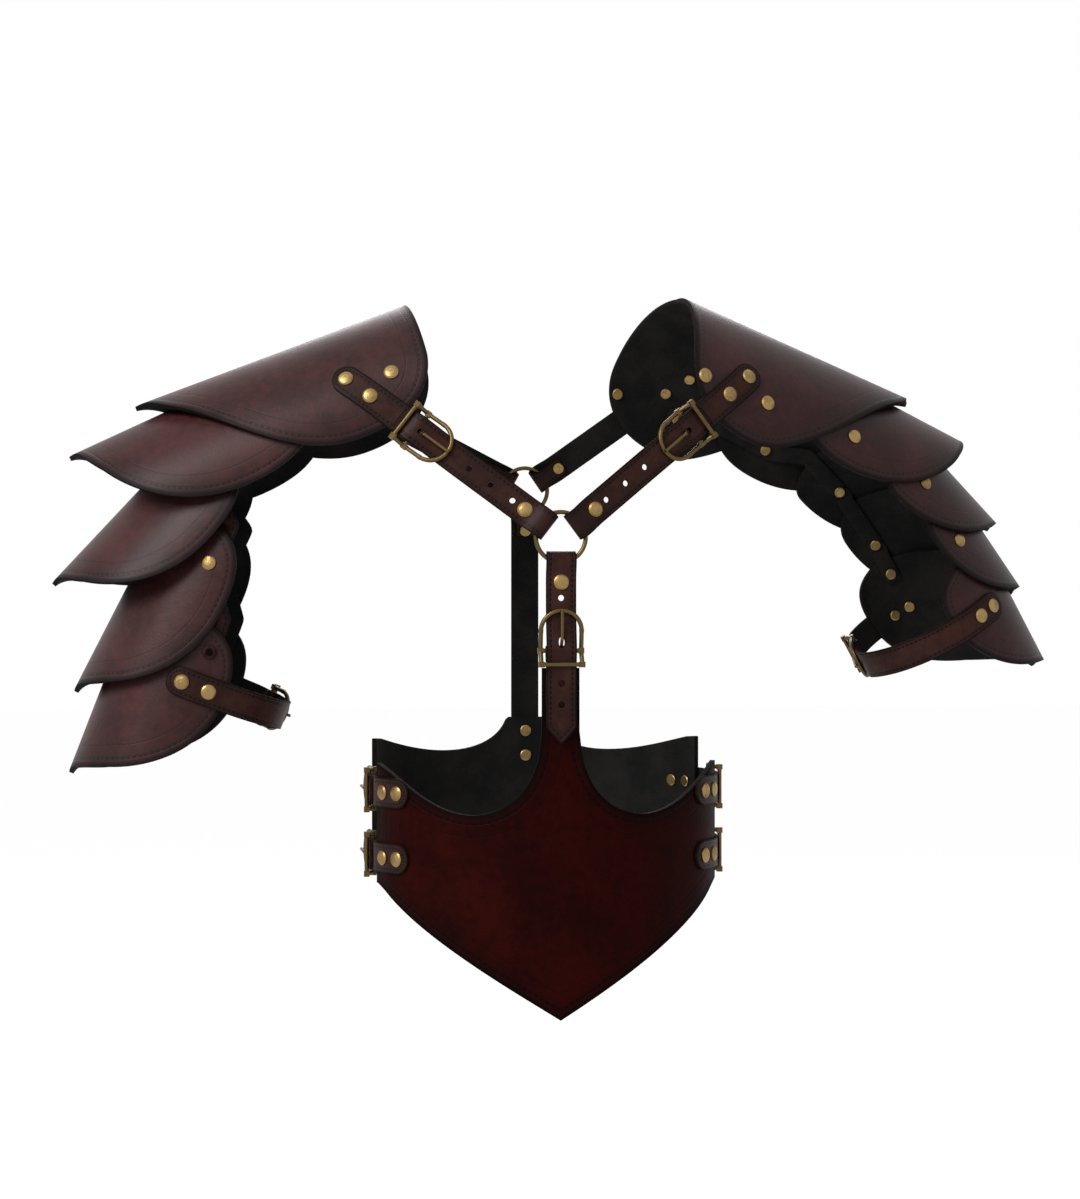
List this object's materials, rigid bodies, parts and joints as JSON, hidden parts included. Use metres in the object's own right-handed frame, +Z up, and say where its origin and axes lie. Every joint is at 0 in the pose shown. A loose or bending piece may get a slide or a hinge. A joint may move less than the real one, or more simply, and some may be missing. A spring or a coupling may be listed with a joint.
{
  "type": "leather pauldron harness",
  "caption": "Pair of overlapping leather shoulder guards on a buckled chest harness with a pointed waist plate.",
  "frame": {"origin": "on the wearer's body axis at waist height, inside the waist panels", "axes": "+Z up, the front faces -Y, +X towards the picture's right (the wearer's left)"},
  "size_m": [0.7219, 0.2311, 0.489],
  "materials": {
    "plate_leather": "waxed dark oxblood leather, black flesh side",
    "strap_leather": "waxed brown strap leather",
    "antique_brass": "antiqued brass"
  },
  "bodies": {
    "harness": {"left_cap": "plate_leather", "right_cap": "plate_leather", "cap_spine_straps": "strap_leather", "left_chest_strap": "strap_leather", "right_chest_strap": "strap_leather", "centre_chest_strap": "strap_leather", "left_chest_buckle_strap": "strap_leather", "right_chest_buckle_strap": "strap_leather", "centre_chest_buckle_strap": "strap_leather", "chest_buckles": "antique_brass", "left_back_strap": "strap_leather", "right_back_strap": "strap_leather", "centre_back_strap": "strap_leather", "waist_front": "plate_leather", "waist_back": "plate_leather", "side_buckle_straps": "strap_leather", "side_straps": "strap_leather", "side_buckles": "antique_brass", "harness_rivets": "antique_brass"},
    "left_plate_2": {"left_lame_2": "plate_leather", "left_spine_2": "strap_leather", "left_rivets_2": "antique_brass"},
    "left_plate_3": {"left_lame_3": "plate_leather", "left_spine_3": "strap_leather", "left_rivets_3": "antique_brass"},
    "left_plate_4": {"left_lame_4": "plate_leather", "left_spine_4": "strap_leather", "left_rivets_4": "antique_brass"},
    "left_plate_5": {"left_lame_5": "plate_leather", "left_spine_5": "strap_leather", "left_rivets_5": "antique_brass", "left_arm_strap": "strap_leather", "left_arm_buckle_strap": "strap_leather", "left_arm_buckle": "antique_brass"},
    "right_plate_2": {"right_lame_2": "plate_leather", "right_spine_2": "strap_leather", "right_rivets_2": "antique_brass"},
    "right_plate_3": {"right_lame_3": "plate_leather", "right_spine_3": "strap_leather", "right_rivets_3": "antique_brass"},
    "right_plate_4": {"right_lame_4": "plate_leather", "right_spine_4": "strap_leather", "right_rivets_4": "antique_brass"},
    "right_plate_5": {"right_lame_5": "plate_leather", "right_spine_5": "strap_leather", "right_rivets_5": "antique_brass", "right_arm_strap": "strap_leather", "right_arm_buckle_strap": "strap_leather", "right_arm_buckle": "antique_brass"},
    "left_chest_tongue_pin": {"left_chest_tongue": "antique_brass"},
    "right_chest_tongue_pin": {"right_chest_tongue": "antique_brass"},
    "centre_chest_tongue_pin": {"centre_chest_tongue": "antique_brass"},
    "left_upper_side_tongue_pin": {"left_upper_side_tongue": "antique_brass"},
    "left_lower_side_tongue_pin": {"left_lower_side_tongue": "antique_brass"},
    "right_upper_side_tongue_pin": {"right_upper_side_tongue": "antique_brass"},
    "right_lower_side_tongue_pin": {"right_lower_side_tongue": "antique_brass"},
    "left_arm_tongue_pin": {"left_arm_tongue": "antique_brass"},
    "right_arm_tongue_pin": {"right_arm_tongue": "antique_brass"},
    "front_ring_body": {"front_ring": "antique_brass"},
    "back_ring_body": {"back_ring": "antique_brass"}
  },
  "joints": [
    {"name": "left_lame_2_flex", "type": "hinge", "parent": "harness", "child": "left_plate_2", "pos_m": [-0.1502, 0.00527, 0.30443], "axis": [0.0872, 0.9962, 0], "range_deg": [-6, 3]},
    {"name": "left_lame_3_flex", "type": "hinge", "parent": "left_plate_2", "child": "left_plate_3", "pos_m": [-0.20466, 0.01003, 0.27636], "axis": [0.0872, 0.9962, 0], "range_deg": [-8, 10]},
    {"name": "left_lame_4_flex", "type": "hinge", "parent": "left_plate_3", "child": "left_plate_4", "pos_m": [-0.20989, 0.01049, 0.23155], "axis": [0.0872, 0.9962, 0], "range_deg": [-8, 6]},
    {"name": "left_lame_5_flex", "type": "hinge", "parent": "left_plate_4", "child": "left_plate_5", "pos_m": [-0.21594, 0.01102, 0.16797], "axis": [0.0872, 0.9962, 0], "range_deg": [-8, 1.4]},
    {"name": "right_lame_2_flex", "type": "hinge", "parent": "harness", "child": "right_plate_2", "pos_m": [0.15481, 0.01616, 0.31293], "axis": [0.2419, -0.9703, 0], "range_deg": [-6, 2]},
    {"name": "right_lame_3_flex", "type": "hinge", "parent": "right_plate_2", "child": "right_plate_3", "pos_m": [0.2283, 0.03448, 0.2887], "axis": [0.2419, -0.9703, 0], "range_deg": [-8, 4]},
    {"name": "right_lame_4_flex", "type": "hinge", "parent": "right_plate_3", "child": "right_plate_4", "pos_m": [0.25908, 0.04216, 0.25535], "axis": [0.2419, -0.9703, 0], "range_deg": [-6, 2]},
    {"name": "right_lame_5_flex", "type": "hinge", "parent": "right_plate_4", "child": "right_plate_5", "pos_m": [0.2868, 0.04907, 0.21487], "axis": [0.2419, -0.9703, 0], "range_deg": [-6, 0.3]},
    {"name": "left_chest_tongue_pin_swing", "type": "hinge", "parent": "harness", "child": "left_chest_tongue_pin", "pos_m": [-0.09332, -0.08155, 0.29408], "axis": [-0.6148, -0.0453, -0.7874], "range_deg": [0, 4]},
    {"name": "right_chest_tongue_pin_swing", "type": "hinge", "parent": "harness", "child": "right_chest_tongue_pin", "pos_m": [0.09076, -0.08138, 0.29726], "axis": [-0.6061, -0.126, 0.7854], "range_deg": [0, 4]},
    {"name": "centre_chest_tongue_pin_swing", "type": "hinge", "parent": "harness", "child": "centre_chest_tongue_pin", "pos_m": [0, -0.105, 0.1484], "axis": [1, 0, 0], "range_deg": [0, 4]},
    {"name": "left_upper_side_tongue_pin_swing", "type": "hinge", "parent": "harness", "child": "left_upper_side_tongue_pin", "pos_m": [-0.11736, -0.01595, 0.052], "axis": [0, 0, 1], "range_deg": [0, 4]},
    {"name": "left_lower_side_tongue_pin_swing", "type": "hinge", "parent": "harness", "child": "left_lower_side_tongue_pin", "pos_m": [-0.11736, -0.01595, 0.008], "axis": [0, 0, 1], "range_deg": [0, 4]},
    {"name": "right_upper_side_tongue_pin_swing", "type": "hinge", "parent": "harness", "child": "right_upper_side_tongue_pin", "pos_m": [0.11736, -0.01595, 0.052], "axis": [0, 0, -1], "range_deg": [0, 4]},
    {"name": "right_lower_side_tongue_pin_swing", "type": "hinge", "parent": "harness", "child": "right_lower_side_tongue_pin", "pos_m": [0.11736, -0.01595, 0.008], "axis": [0, 0, -1], "range_deg": [0, 4]},
    {"name": "left_arm_tongue_pin_swing", "type": "hinge", "parent": "left_plate_5", "child": "left_arm_tongue_pin", "pos_m": [-0.18888, 0.0376, 0.10753], "axis": [0.357, -0.0312, 0.9336], "range_deg": [0, 4]},
    {"name": "right_arm_tongue_pin_swing", "type": "hinge", "parent": "right_plate_5", "child": "right_arm_tongue_pin", "pos_m": [0.24833, 0.0692, 0.14217], "axis": [0.4997, 0.1246, -0.8572], "range_deg": [0, 4]},
    {"name": "front_ring_spin", "type": "hinge", "parent": "harness", "child": "front_ring_body", "pos_m": [0, -0.105, 0.223], "axis": [0, 1, 0], "continuous": true},
    {"name": "back_ring_spin", "type": "hinge", "parent": "harness", "child": "back_ring_body", "pos_m": [0, 0.0851, 0.262], "axis": [0, 1, 0], "continuous": true}
  ]
}
